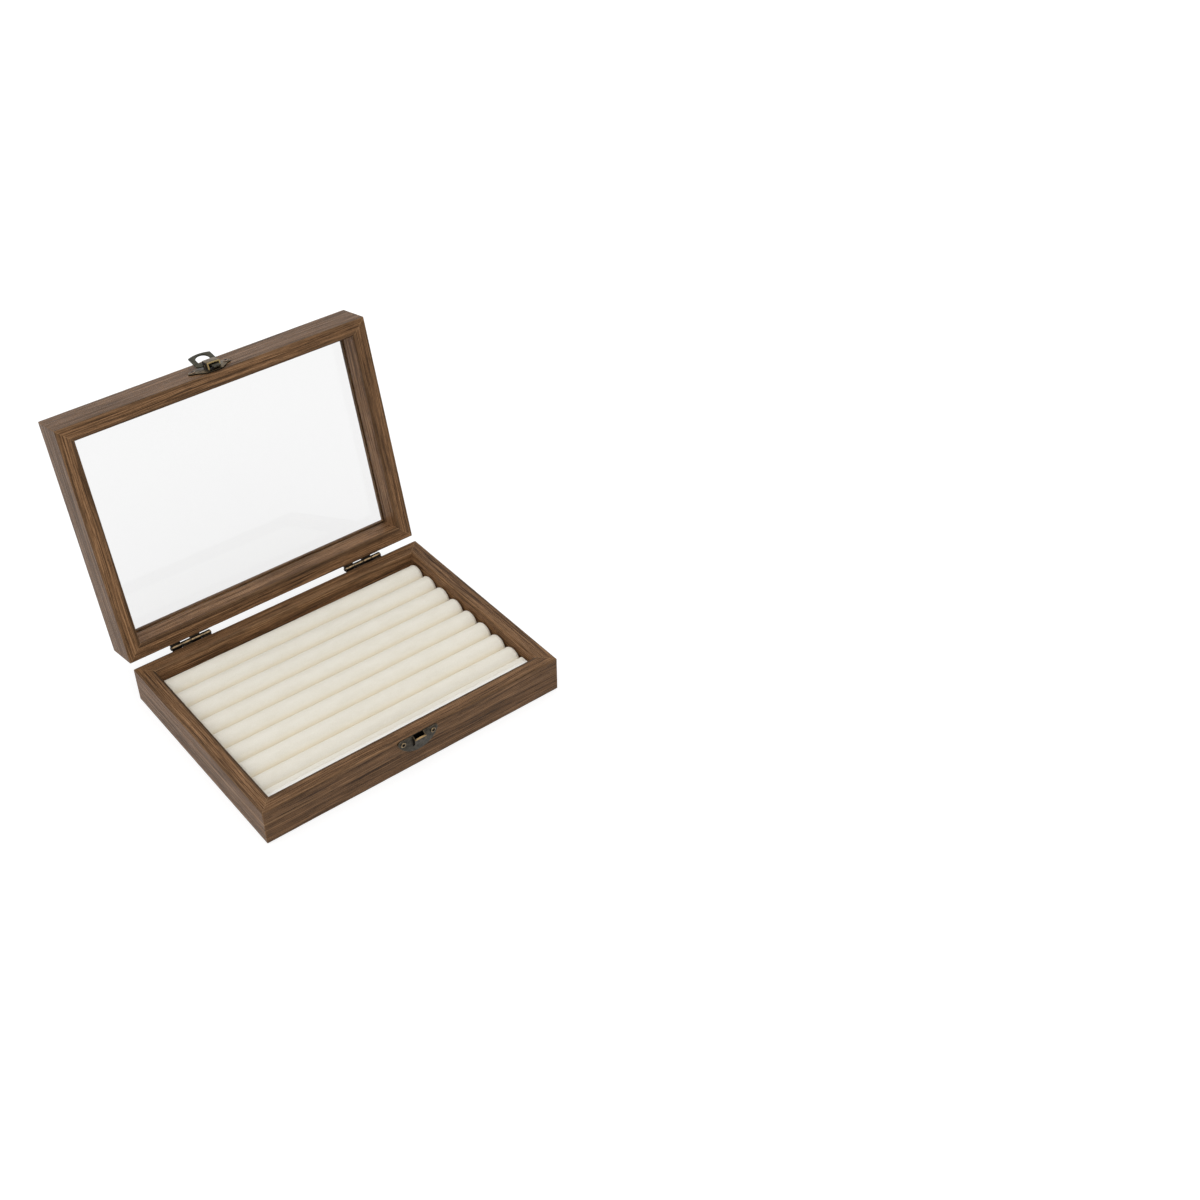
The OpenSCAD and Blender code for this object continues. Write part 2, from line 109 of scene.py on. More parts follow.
def roundedOutline(corners, arcSteps=7, straight=1.4 * mm, guard=0.12 * mm):
    # closed outline through corners (x, y, radius): each corner is an arc tangent to its two sides, and the
    # sides are cut into pieces of at most straight, with a guard point next to each arc. Returns the points
    # and how near each lies to a rounded corner, exp(-distance / nearReach).
    corners = [np.array(c, float) for c in corners]
    arcs = []
    for i, corner in enumerate(corners):
        here, before, after = corner[:2], corners[i - 1][:2], corners[(i + 1) % len(corners)][:2]
        into = (before - here) / np.linalg.norm(before - here)
        out = (after - here) / np.linalg.norm(after - here)
        half = math.acos(np.clip(into @ out, -1, 1)) / 2
        if corner[2] <= 0:
            arcs.append(here[None])
            continue
        reach = corner[2] / math.tan(half)
        centre = here + (into + out) / np.linalg.norm(into + out) * corner[2] / math.sin(half)
        a, b = here + into * reach - centre, here + out * reach - centre
        t = np.linspace(0, 1, arcSteps)[:, None]
        sweep = math.pi - 2 * half
        arcs.append(centre + (np.sin((1 - t) * sweep) * a + np.sin(t * sweep) * b) / math.sin(sweep))
    points, near = [], []
    for i, arc in enumerate(arcs):
        points.append(arc)
        near.append(np.full(len(arc), 1.0 if len(arc) > 1 else 0.0))
        start, end = arc[-1], arcs[(i + 1) % len(arcs)][0]
        span = np.linalg.norm(end - start)
        if span < 4 * guard:
            continue
        t = np.linspace(guard / span, 1 - guard / span, max(2, int(span / straight) + 1))[:, None]
        points.append(start + (end - start) * t)
        away = np.minimum(t, 1 - t)[:, 0] * span
        near.append(np.exp(-away / nearReach) * (len(arc) > 1))
    return np.vstack(points), np.concatenate(near)


def buildMesh(name, vertices, faces, loopUv=None, values=None, sharp=35):
    # faces is a list of index arrays, each with its own number of corners to a face
    mesh = bpy.data.meshes.new(name)
    mesh.vertices.add(len(vertices))
    mesh.vertices.foreach_set("co", np.asarray(vertices, np.float32).ravel())
    corners = np.concatenate([f.ravel() for f in faces])
    totals = np.concatenate([np.full(len(f), f.shape[1]) for f in faces])
    mesh.loops.add(len(corners))
    mesh.loops.foreach_set("vertex_index", corners.astype(np.int32))
    mesh.polygons.add(len(totals))
    mesh.polygons.foreach_set("loop_start", np.concatenate([[0], np.cumsum(totals)[:-1]]).astype(np.int32))
    mesh.polygons.foreach_set("use_smooth", np.ones(len(totals), bool))
    if loopUv is not None:
        layer = mesh.uv_layers.new(name="surface")
        layer.data.foreach_set("uv", np.asarray(loopUv, np.float32).ravel())
    for key, value in (values or {}).items():
        attribute = mesh.attributes.new(key, "FLOAT", "POINT")
        attribute.data.foreach_set("value", np.asarray(value, np.float32).ravel())
    mesh.update(calc_edges=True)
    mesh.validate()
    mesh.set_sharp_from_angle(angle=math.radians(sharp))
    return placed(name, mesh)


def gridMesh(name, grid, along, around, values=None, sharp=35):
    # closed skin over a grid of points: each row is a closed outline, along and around are the UV of the rows
    # and columns in metres, and a cap closes the first and the last row
    rows, columns = grid.shape[:2]
    i, j = np.meshgrid(np.arange(rows - 1), np.arange(columns), indexing="ij")
    steps = ((0, 0), (0, 1), (1, 1), (1, 0))
    quads = np.stack([(i + di) * columns + (j + dj) % columns for di, dj in steps], -1)
    uv = np.stack([np.stack([along[i + di], around[j + dj]], -1) for di, dj in steps], 2)
    faces, loopUv = [quads.reshape(-1, 4)], [uv.reshape(-1, 2)]
    first = np.arange(columns)[::-1]
    last = (rows - 1) * columns + np.arange(columns)
    for row, cap in ((0, first), (rows - 1, last)):
        faces.append(cap[None])
        loopUv.append(np.stack([np.full(columns, along[row]), around[cap % columns]], -1))
    return buildMesh(name, grid.reshape(-1, 3), faces, np.vstack(loopUv), values, sharp)


def lengthsRound(outline):
    # distance along a closed outline to each of its points, and all the way round
    step = np.linalg.norm(np.roll(outline, -1, 0) - outline, axis=1)
    return np.concatenate([[0], np.cumsum(step)])


def stations(low, high, radius, steps, first, count):
    # places along X from low to high and how far an outline draws in at each: a quarter round at both ends, and
    # count even places between that start at first from the ends
    t = np.linspace(0, math.pi / 2, steps)
    runIn, inset = radius * (1 - np.cos(t)), radius * (1 - np.sin(t))
    x = np.concatenate([low + runIn, np.linspace(low + first, high - first, count), high - runIn[::-1]])
    return x, np.concatenate([inset, np.zeros(count), inset[::-1]])


def drawnIn(outline, x, draw, middle, half):
    # outline (y, z) carried along X and drawn in towards its middle: scale = 1 - draw / half at each place
    grid = np.empty((len(x), len(outline), 3))
    grid[..., 0] = x[:, None]
    grid[..., 1:] = middle + (outline - middle)[None] * (1 - draw[:, None] / half[None])[:, None]
    return grid


def addNode(tree, kind, sockets=None, **settings):
    # adds one shader node: settings are its properties, and sockets gives each input a value, the output that
    # feeds it or the node whose first output does. Inputs by number: of a Mix, 0 is the factor, 6 and 7 are the
    # colours; of a MapRange, 1 and 2 are the range that is read, 3 and 4 the range that it becomes.
    made = tree.nodes.new("ShaderNode" + kind)
    for key, value in settings.items():
        setattr(made, key, value)
    for key, value in (sockets or {}).items():
        if isinstance(value, bpy.types.Node):
            value = next(output for output in value.outputs if output.enabled)
        if isinstance(value, bpy.types.NodeSocket):
            tree.links.new(value, made.inputs[key])
        else:
            made.inputs[key].default_value = value
    return made


def cleared(block):
    # empties the shader of a material or a world, and returns addNode for it
    block.use_nodes = True
    block.node_tree.nodes.clear()
    return functools.partial(addNode, block.node_tree)


def newMaterial(name):
    # an empty material, and what adds nodes to it
    material = bpy.data.materials.new(name)
    return material, cleared(material)


foil = {
    "base": "6b4d32",  # walnut print between the streaks
    "dark": "23160a",
    "light": "967251",
    "worn": "a58460",  # pressed edge of the foil on joints, and on arrises pressed edge and painted highlight both
    "speckle": 0.4,  # print dots in millimetres, drawn as a fine mottle
    "askew": (0.6, 0.35, 0.8),  # turn of the mottle, so that its lattice never lines up with the face
    "swayLength": 110,  # slow wander of the grain in millimetres: along, across, and how far it goes
    "swayWidth": 30,
    "sway": 2.5,
    "relief": 0.04 * mm,
    "roughness": (0.60, 0.34),  # of the dark and of the light print
    "seamHeight": 14.7,  # light joint line along the outside of the base, in millimetres
    "seamWidth": (0.2, 0.55),  # from its middle to where it begins and ends to fade
}
# streaks of the print: millimetres across and along, detail and roughness of the noise, the part of its range
# that is spread out, how strong it gets, and where in the noise it starts
streaks = {
    "bands": (3.2, 190, 2.0, 0.5, 0.36, 0.64, 0.26, 0),
    "fine": (0.34, 48, 2.0, 0.75, 0.40, 0.60, 0.74, 0),
    "figure": (0.8, 60, 3.0, 0.6, 0.55, 0.64, 0.8, 31),  # long dark lines of late wood
    "pores": (0.5, 7, 1.0, 0.5, 0.58, 0.70, 0.6, 57),  # drawn twice as wide as the real 0.25 to show
    "dashes": (0.36, 18, 2.0, 0.6, 0.56, 0.68, 0.7, 83),  # short dark dashes between the lines
}


def walnutFoil():
    # MDF wrapped in walnut-print PVC foil: fine straight streaks along each rail, a few long dark lines, and a
    # satin sheen that greys the faces seen at a low angle. Its attributes come from makeRail, and railNumber
    # gives each rail its own stretch of the print.
    material, add = newMaterial("walnutFoilOnMdf")
    dark, worn = linear(foil["dark"]), linear(foil["worn"])
    uv = add("UVMap", uv_map="surface")
    millimetres = add("VectorMath", {0: uv, 1: (1000, 1000, 1000)}, operation="MULTIPLY")
    number, wear, seam, fold, paintedFaceLight = (
        add("Attribute", attribute_name=name).outputs["Fac"]
        for name in ("railNumber", "wear", "seam", "fold", "paintedFaceLight"))
    shift = add("CombineXYZ", {"Z": number})
    place = add("VectorMath", {0: millimetres, 1: shift}, operation="ADD")

    wander = add("Mapping", {"Vector": place, "Scale": (1 / foil["swayLength"], 1 / foil["swayWidth"], 1)})
    wave = add("TexNoise", {"Vector": wander, "Scale": 1.0, "Detail": 1.0})
    sway = add("MapRange", {"Value": wave, 3: -foil["sway"], 4: foil["sway"]})
    aside = add("CombineXYZ", {"Y": sway})
    grain = add("VectorMath", {0: place, 1: aside}, operation="ADD")

    def streaky(width, length, detail, rough, low, high, most, start):
        # noise stretched along the rail, with its middle range spread from 0 to most
        scale = add("Mapping", {"Vector": grain, "Scale": (1 / length, 1 / width, 7.3),
                                "Location": (start, start, start)})
        noise = add("TexNoise", {"Vector": scale, "Scale": 1.0, "Detail": detail, "Roughness": rough})
        return add("MapRange", {"Value": noise, 1: low, 2: high, 3: 0.0, 4: most})

    bands, fine, figure, pores = (streaky(*streaks[name]) for name in ("bands", "fine", "figure", "pores"))
    askew = add("Mapping", {"Vector": place, "Rotation": foil["askew"]})
    dots = add("TexNoise", {"Vector": askew, "Scale": 1 / foil["speckle"], "Detail": 2.0})
    mottle = add("MapRange", {"Value": dots, 1: 0.3, 2: 0.7, 3: -0.14, 4: 0.14})
    both = add("Math", {0: bands, 1: fine}, operation="ADD")
    tone = add("Math", {0: both, 1: mottle}, operation="ADD")
    darkSide = add("MapRange", {"Value": tone, 1: 0.0, 2: 0.5})
    lightSide = add("MapRange", {"Value": tone, 1: 0.5, 2: 1.0})
    darker = add("Mix", {0: darkSide, 6: dark, 7: linear(foil["base"])}, data_type="RGBA")
    streaked = add("Mix", {0: lightSide, 6: darker, 7: linear(foil["light"])}, data_type="RGBA")
    dashes = streaky(*streaks["dashes"])
    most = add("Math", {0: figure, 1: dashes}, operation="MAXIMUM")
    lines = add("Math", {0: most, 1: pores}, operation="MAXIMUM")
    porous = add("Mix", {0: lines, 6: streaked, 7: dark}, data_type="RGBA")

    # lighter broken line where the foil butts at a mitre, and on the rounded edges, where it is both pressed and a
    # painted highlight, in patches of 3 by 0.7 mm
    patchPlace = add("Mapping", {"Vector": place, "Scale": (1 / 3, 1 / 0.7, 1)})
    patches = add("TexNoise", {"Vector": patchPlace, "Scale": 1.0, "Detail": 3.0})
    broken = add("MapRange", {"Value": patches, 1: 0.40, 2: 0.66, 3: 0.15, 4: 0.8})
    rub = add("Math", {0: wear, 1: broken}, operation="MULTIPLY", use_clamp=True)
    rubbed = add("Mix", {0: rub, 6: porous, 7: worn}, data_type="RGBA")

    # joint line of the foil, at one height and swaying with the grain: |z - seamHeight - (wave - 0.5)|
    solid = add("TexCoord")
    height = add("SeparateXYZ", {"Vector": solid.outputs["Object"]})
    raised = add("Math", {0: height.outputs["Z"], 1: 1000.0, 2: -foil["seamHeight"]}, operation="MULTIPLY_ADD")
    swayed = add("Math", {0: wave, 1: raised}, operation="SUBTRACT")
    offLine = add("Math", {0: swayed, 1: 0.5}, operation="SUBTRACT")
    apart = add("Math", {0: offLine}, operation="ABSOLUTE")
    line = add("MapRange", {"Value": apart, 1: foil["seamWidth"][0], 2: foil["seamWidth"][1],
                            3: 0.75, 4: 0.0})
    jointLine = add("Math", {0: line, 1: seam}, operation="MULTIPLY")
    joined = add("Mix", {0: jointLine, 6: rubbed, 7: worn}, data_type="RGBA")

    # painted shade along the rounded edges, and painted light: how light the print comes out on each face
    arrisShaded = add("Mix", {0: fold, 6: joined, 7: dark}, data_type="RGBA")
    coloured = add("VectorMath", {0: arrisShaded, "Scale": paintedFaceLight}, operation="SCALE")

    sheen = add("MapRange", {"Value": tone, 3: foil["roughness"][0], 4: foil["roughness"][1]})
    relief = add("Math", {0: tone, 1: lines}, operation="SUBTRACT")
    bump = add("Bump", {"Height": relief, "Strength": 0.7, "Distance": foil["relief"]})
    surface = add("BsdfPrincipled", {"Base Color": coloured, "Roughness": sheen, "Normal": bump,
                                     "IOR": 1.46, "Specular IOR Level": 0.16})
    add("OutputMaterial", {"Surface": surface})
    return material


velvet = {
    "colour": "eeeadf",
    "shade": "e1dbcc",  # where the nap lies the other way
    "crease": "f0e8d6",  # painted light between two rolls: a lighter, yellower colour low on their sides that eases the shade there
    "pale": "f9f8f4",  # brushed flat along the front strip
    "sheen": "fff8ea",
    "patch": (0.08, 0.2, 0.2),  # patches of brushed nap to the millimetre: 12 mm along a roll and 5 mm across
    "pile": 0.45,  # pile tufts, drawn coarser than the real 0.15 so that they show
    "relief": 0.2 * mm,
}


def creamVelvet():
    # short-pile cream velvet: matte, with a soft bright rim where the pile is seen side on, and brushed patches
    material, add = newMaterial("shortPileVelvet")
    place = add("TexCoord")
    millimetres = add("Mapping", {"Vector": place.outputs["Object"], "Scale": (1000, 1000, 1000)})
    patchPlace = add("Mapping", {"Vector": millimetres, "Scale": velvet["patch"]})
    patches = add("TexNoise", {"Vector": patchPlace, "Scale": 1.0, "Detail": 5.0, "Roughness": 0.65})
    pile = add("TexNoise", {"Vector": millimetres, "Scale": 1 / velvet["pile"], "Detail": 2.0,
                            "Roughness": 0.7})
    brushed = add("MapRange", {"Value": patches, 1: 0.36, 2: 0.64, 3: 0.0, 4: 0.35})
    tufts = add("MapRange", {"Value": pile, 1: 0.3, 2: 0.7, 3: 0.0, 4: 0.65})
    colour = add("Math", {0: brushed, 1: tufts}, operation="ADD")
    colour = add("Mix", {0: colour, 6: linear(velvet["colour"]), 7: linear(velvet["shade"])}, data_type="RGBA")
    for spot in ("crease", "pale"):  # attributes from 0 to 1 on the rolls and on the front pad
        share = add("Attribute", attribute_name=spot)
        colour = add("Mix", {0: share.outputs["Fac"], 6: colour, 7: linear(velvet[spot])}, data_type="RGBA")
    bump = add("Bump", {"Height": pile, "Strength": 0.5, "Distance": velvet["relief"]})
    surface = add("BsdfPrincipled", {
        "Base Color": colour, "Roughness": 0.95, "Normal": bump, "Specular IOR Level": 0.15,
        "Sheen Weight": 0.4, "Sheen Roughness": 0.5, "Sheen Tint": linear(velvet["sheen"])})
    add("OutputMaterial", {"Surface": surface})
    return material


def floatGlass():
    # 2 mm float glass: nearly clear, greyed a little by its two faces, and it lets the lamps through
    material, add = newMaterial("floatGlass")
    path = add("LightPath")
    glass = add("BsdfPrincipled", {"Base Color": linear("ebebeb"), "Roughness": 0.0, "IOR": 1.5,
                                   "Transmission Weight": 1.0, "Specular Tint": linear("9c9c9c")})
    clear = add("BsdfTransparent", {"Color": linear("f3f4f4")})
    lit = add("Math", {0: path.outputs["Is Shadow Ray"], 1: path.outputs["Is Diffuse Ray"]},
              operation="MAXIMUM")
    both = add("MixShader", {0: lit, 1: glass, 2: clear})
    add("OutputMaterial", {"Surface": both})
    return material


bronze = {
    "patina": "4e483c",
    "rubbed": "b89a66",
    # dark of dirt and antiquing, also painted shade in the hollows and in the screw drives
    "grime": "15110d",
    "edge": 0.3 * mm,  # how far wear reaches in from an edge
    "hollow": 2.2 * mm,  # how far the dark of a hollow, antiquing and painted shade, reaches out of a corner
    "blotch": 1.8,  # millimetres across a blotch and a speck of the patina
    "speck": 0.35,
    "relief": 0.05 * mm,
    "bore": (0.30, 0.44),  # painted shade: share of the head's radius, seen from its rim, where a screw's drive turns black
}


def antiqueBronze(name, face, rubbed, side=None, toward=(0, 0, 1), turn=(0.35, 0.9), polishedAndHighlit=None):
    # stamped steel with a dark antique bronze plating: nearly black in the hollows, from its antiquing and from
    # painted shade where the occlusion is deep, and rubbed golden on the edges. Side is painted shade: what the
    # plating darkens to where its normal turns away from toward, between two cosines. Touched is a polished spot,
    # worn and a painted
    # highlight both: its centre and radii in millimetres, and its turn about X.
    material, add = newMaterial(name)
    grime = linear(bronze["grime"])
    place = add("TexCoord")
    millimetres = add("Mapping", {"Vector": place.outputs["Object"], "Scale": (1000, 1000, 1000)})
    blotches = add("TexNoise", {"Vector": millimetres, "Scale": 1 / bronze["blotch"], "Detail": 4.0,
                                "Roughness": 0.6})
    specks = add("TexNoise", {"Vector": millimetres, "Scale": 1 / bronze["speck"], "Detail": 2.0})
    shape = add("NewGeometry")
    rounded = add("Bevel", {"Radius": bronze["edge"]}, samples=6)
    bend = add("VectorMath", {0: shape.outputs["Normal"], 1: rounded}, operation="DOT_PRODUCT")
    nearEdge = add("MapRange", {"Value": bend, 1: 0.99, 2: 0.80})
    worn = add("MapRange", {"Value": blotches, 1: 0.4, 2: 0.65, 3: 0.25, 4: 1.0})
    room = add("AmbientOcclusion", {"Distance": bronze["hollow"]}, samples=8)
    rub = add("Math", {0: nearEdge, 1: worn}, operation="MULTIPLY", use_clamp=True)
    golden = add("Math", {0: rub, 1: room.outputs["AO"]}, operation="MULTIPLY")
    # polished spot on a lip, worn and a painted highlight both
    if polishedAndHighlit:
        centre, radii, swing = polishedAndHighlit
        spot = add("Mapping", {"Vector": millimetres, "Location": centre, "Rotation": (swing, 0, 0),
                               "Scale": radii}, vector_type="TEXTURE")
        reach = add("VectorMath", {0: spot}, operation="LENGTH")
        polishedSpotAndHighlight = add("MapRange", {"Value": reach, 1: 1.0, 2: 0.75, 3: 0.0, 4: 0.85})
        golden = add("Math", {0: golden, 1: polishedSpotAndHighlight}, operation="MAXIMUM")
    plating = linear(face)
    # painted shade: the plating turns to side where its normal turns away from toward
    if side:
        facing = add("VectorMath", {0: place.outputs["Normal"], 1: toward}, operation="DOT_PRODUCT")
        either = add("Math", {0: facing}, operation="ABSOLUTE")
        faced = add("MapRange", {"Value": either, 1: turn[0], 2: turn[1]})
        plating = add("Mix", {0: faced, 6: linear(side), 7: plating}, data_type="RGBA")
    dirt = add("MapRange", {"Value": blotches, 1: 0.35, 2: 0.6, 3: 0.7, 4: 0.0})
    # painted shade over the antiqued hollows, deepest where the occlusion is
    shut = add("MapRange", {"Value": room.outputs["AO"], 1: 0.3, 2: 0.85, 3: 1.0, 4: 0.0})
    dark = add("Math", {0: dirt, 1: shut}, operation="MAXIMUM")
    dirtiedAndShaded = add("Mix", {0: dark, 6: plating, 7: grime}, data_type="RGBA")
    colour = add("Mix", {0: golden, 6: dirtiedAndShaded, 7: linear(rubbed)}, data_type="RGBA")
    drive = add("Attribute", attribute_name="drive")  # painted shade of the screw drives, set by markDriveShade
    driveShadeShare = add("MapRange", {"Value": drive.outputs["Fac"], 1: bronze["bore"][0], 2: bronze["bore"][1],
                             3: 0.0, 4: 1.0})
    bore = add("Mix", {0: driveShadeShare, 6: colour, 7: grime}, data_type="RGBA")
    rough = add("MapRange", {"Value": specks, 1: 0.3, 2: 0.7, 3: 0.34, 4: 0.5})
    bump = add("Bump", {"Height": specks, "Strength": 0.3, "Distance": bronze["relief"]})
    surface = add("BsdfPrincipled", {"Base Color": bore, "Metallic": 0.85, "Roughness": rough,
                                     "Normal": bump})
    add("OutputMaterial", {"Surface": surface})
    return material


# directions and places on the open lid that the platings need
leverFace = max(frame["nodes"]["latch_lever"].data.polygons, key=lambda flat: flat.area).normal[:]
lidFront = tuple(openLid([(0, -1, 0)])[0] - openLid([(0, 0, 0)])[0])
hoodMouth = tuple(openLid([(0, -0.0792, 0.0254)])[0] * 1000)
# face is the plating where its normal lies along toward, side the painted shade it turns to away from it
hardware = {
    "keeperPlate": {"face": "48433a", "rubbed": "a88b60", "side": "1f1b16", "toward": (0, -1, 0),
                    "polishedAndHighlit": ((0, -78.3, 22.0), (5.3, 0.9, 0.65), 0)},
    # painted highlight: the light face of the screw heads
    "keeperScrews": {"face": "a08a6a", "rubbed": "b39c78", "side": "18130e", "toward": (0, -1, 0)},
    "latchPlate": {"face": "6a5a42", "rubbed": "a08a5c", "side": "251e16", "toward": lidFront,
                   "polishedAndHighlit": (hoodMouth, (8.0, 3.2, 0.9), -lidSwing)},
    # painted highlight: the light face of these screw heads
    "latchScrews": {"face": "a08874", "rubbed": "b39c80", "side": "18130e", "toward": lidFront},
    "leverPlate": {"face": "413f33", "rubbed": "66634f", "side": "15140f", "toward": leverFace},
    # painted highlight: the barrel shows its tan face only in a narrow line along toward; the rest is painted
    # shade, and rubbed paints its edges dark
    "hingeBarrel": {"face": "a58c6a", "rubbed": "2a231b", "side": "1a1510", "toward": (0, -0.62, 0.785),
                    "turn": (0.93, 0.99)},
}
finishes = {
    "stained_wood": walnutFoil(),
    "cream_velvet": creamVelvet(),
    "clear_glass": floatGlass(),
    "antique_bronze": antiqueBronze("antiqueBronzePlate", bronze["patina"], bronze["rubbed"]),
    "spring_wire": antiqueBronze("oiledSpringSteel", "6d6a64", "b5b2aa"),
}
plated = {name: antiqueBronze(name, **looks) for name, looks in hardware.items()}
print("materials made")


bodyOf = {node: body for body, nodes in frame["record"]["behaviour"]["bodies"].items() for node in nodes}


def camelCased(node):
    # latch_case becomes latchCase
    first, *others = node.split("_")
    return first + "".join(word.title() for word in others)


def finish(piece, slot, node=None, look=None):
    # gives a new piece its finish, and the body of the plain node that it stands for and hides
    piece.data.materials.append(look or finishes[slot])
    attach(piece, bodyOf[node] if node else "base")
    if node:
        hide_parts(node)


rail = {
    "turn": {"front": 0, "right": 90, "back": 180, "left": 270},  # degrees about the middle of the box
    "arris": 0.8 * mm,  # outer long edges
    "innerArris": 1.3 * mm,  # long edges round the opening, rolled softer by the foil
    "rebate": 4.5 * mm,  # for the base panel
    "panel": 3 * mm,
    "grooveDrop": 15.5 * mm,  # lid's rim to the glass groove
    "grooveWidth": 3 * mm,
    "grooveDepth": 4 * mm,
    "lip": 0.3 * mm,  # edges of the groove
    "bevelWidth": 3 * mm,  # round the outside of the pane
    "bevelHeight": 3.8 * mm,
    "bevelEdge": 0.4 * mm,
    "cornerRound": 0.7 * mm,  # upright corner edges of the box, and how deep they reach into the rail
    "cornerReach": 0.4 * mm,
    "ends": (0, 0.12, 0.3, 0.55, 0.9, 1.4, 2.2),  # places of the profile near a mitre, in millimetres
    "middleFrom": 3.5 * mm,  # the places after them, and their spacing
    "step": 2 * mm,
    "dent": 0.06 * mm,  # depth of the dents in the edges, and their spacing
    "dentStep": 5 * mm,
    "edgeWearAndHighlight": 0.12,  # how light the foil is at an edge, worn and painted highlight both, how worn at a mitre, and how wide at the mitre
    "jointWear": 0.75,
    "jointWidth": 0.22 * mm,
    # painted shade along the rounded edges: how dark on the inner ones of the lid and of each rail of the base,
    # and on all the outer ones
    "lidFold": 0.6,
    "baseFold": {"front": 0.9, "left": 0.9, "right": 0.2, "back": 0.2},
    "outerArrisShade": 0.2,
    "lidPrint": (0.94, 1.38, 1.6),  # painted light: how light the print comes out on the outer face, the rim and inside, face by face for how each is lit
    "basePrint": (1.0, 1.13, 1.44),
    "leftPrint": {True: 1.08, False: 1.14},  # painted light on the outer face of the left rail of the lid and of the base
    # joint line: how plain far from the front left corner, how much plainer at it, and how far that lasts
    "seamFar": 0.2,
    "seamNear": 0.55,
    "seamReach": {"front": 22 * mm, "left": 70 * mm, "right": 30 * mm, "back": 30 * mm},
}


def baseOutline():
    # section of a rail of the base: inwards from its outer face, up from its foot, rounding; rebated for a panel
    t, h, r = box["railThickness"], box["baseHeight"], rail["arris"]
    return [(0, 0, r), (t - rail["rebate"], 0, 0), (t - rail["rebate"], rail["panel"], 0),
            (t, rail["panel"], 0), (t, h, rail["innerArris"]), (0, h, r)]


def lidOutline():
    # section of a rail of the lid: inwards, up from its rim, rounding; grooved for the glass, with a bevel above
    t, h, r = box["railThickness"], box["lidHeight"], rail["arris"]
    low = rail["grooveDrop"]
    high = low + rail["grooveWidth"]
    deep = t - rail["grooveDepth"]
    return [(0, 0, r), (t, 0, rail["innerArris"]), (t, low, rail["lip"]), (deep, low, 0), (deep, high, 0),
            (t, high, rail["lip"]), (t, h - rail["bevelHeight"], rail["bevelEdge"]),
            (t - rail["bevelWidth"], h, rail["bevelEdge"]), (0, h, r)]


def makeRail(side, lid, number):
    # profile (inwards, up) carried along one side of the box and cut to 45 degrees at both ends; the last
    # millimetre of the outer face turns in, so that two rails meet in a rounded upright corner
    half, off = box["halfWidth"], box["halfDepth"]
    if side in ("left", "right"):
        half, off = off, half
    foot = box["baseHeight"] if lid else 0
    profile, near = roundedOutline(lidOutline() if lid else baseOutline())
    ends = np.array(rail["ends"]) * mm / (2 * half)
    first = rail["middleFrom"] / (2 * half)
    share = np.concatenate([ends, np.linspace(first, 1 - first, int(2 * half / rail["step"])), 1 - ends[::-1]])
    inwards, up = profile[:, 0][None], profile[:, 1][None]
    run = (share[:, None] * 2 - 1) * (half - inwards)
    fromEnd = np.minimum(share, 1 - share)[:, None] * 2 * half + 0 * inwards

    # corner rounding, pull = r (1 - sqrt(1 - turnedIn^2 / 2)), and dents along each of the profile's four edges
    turnedIn = np.clip(1 - fromEnd / rail["cornerRound"], 0, 1)
    pull = rail["cornerRound"] * (1 - np.sqrt(1 - turnedIn ** 2 * 0.5)) * np.exp(-inwards / rail["cornerReach"])
    dents = np.stack([smoothNoise(number * 50 + k, len(share), rail["dentStep"], 2 * half)
                      for k in range(4)], 1)
    quarter = (np.floor(np.arctan2(up - up.mean(), inwards - inwards.mean()) / (math.pi / 2)) % 4).astype(int)
    dent = np.abs(dents[:, quarter[0]] * near[None]) * rail["dent"]
    toward = profile.mean(0) - profile
    toward = toward / np.linalg.norm(toward, axis=1, keepdims=True)
    local = np.stack([run, -off + inwards + pull + dent * toward[None, :, 0],
                      foot + up + dent * toward[None, :, 1]], -1)
    angle = math.radians(rail["turn"][side])
    spin = np.array([[math.cos(angle), -math.sin(angle), 0], [math.sin(angle), math.cos(angle), 0], [0, 0, 1]])
    grid = local @ spin.T
    if lid:
        grid = openLid(grid)

    # attributes of the foil, point by point
    everywhere = np.zeros(fromEnd.shape)
    wear = near[None] * rail["edgeWearAndHighlight"] + np.exp(-fromEnd / rail["jointWidth"]) * rail["jointWear"]
    wear = np.clip(wear, 0, 1)
    inner = inwards > box["railThickness"] * 0.3
    # painted shade along the rounded edges, darkest on the inner edges
    fold = near[None] * np.where(inner, rail["lidFold"] if lid else rail["baseFold"][side], rail["outerArrisShade"])
    outer, rimward, inside = rail["lidPrint"] if lid else rail["basePrint"]
    if side == "left":
        outer = outer * rail["leftPrint"][lid]
    rim = (up > 0.06 * mm) if lid else (up < box["baseHeight"] - 0.06 * mm)
    # painted light: each face of the rail gets its own brightness
    paintedFaceLight = np.where(inwards < 0.2 * mm, outer, np.where(rim & inner, inside, rimward))
    seam = everywhere
    if not lid:
        fromCorner = np.hypot(grid[..., 0] + box["halfWidth"], grid[..., 1] + box["halfDepth"])
        plain = rail["seamFar"] + rail["seamNear"] * np.exp(-fromCorner / rail["seamReach"][side])
        seam = plain * (inwards < 0.1 * mm)
    cover = {"wear": wear, "fold": fold * (1 - wear), "seam": seam,
             "paintedFaceLight": everywhere + paintedFaceLight, "railNumber": everywhere + number * 13.7}
    node = ("lid" if lid else "base") + "_rail_" + side
    piece = gridMesh(camelCased(node), grid, share * 2 * half, lengthsRound(profile), cover)
    finish(piece, "stained_wood", node)


for number, side in enumerate(rail["turn"], 1):
    makeRail(side, False, number)
    makeRail(side, True, number + 10)
print("rails made")


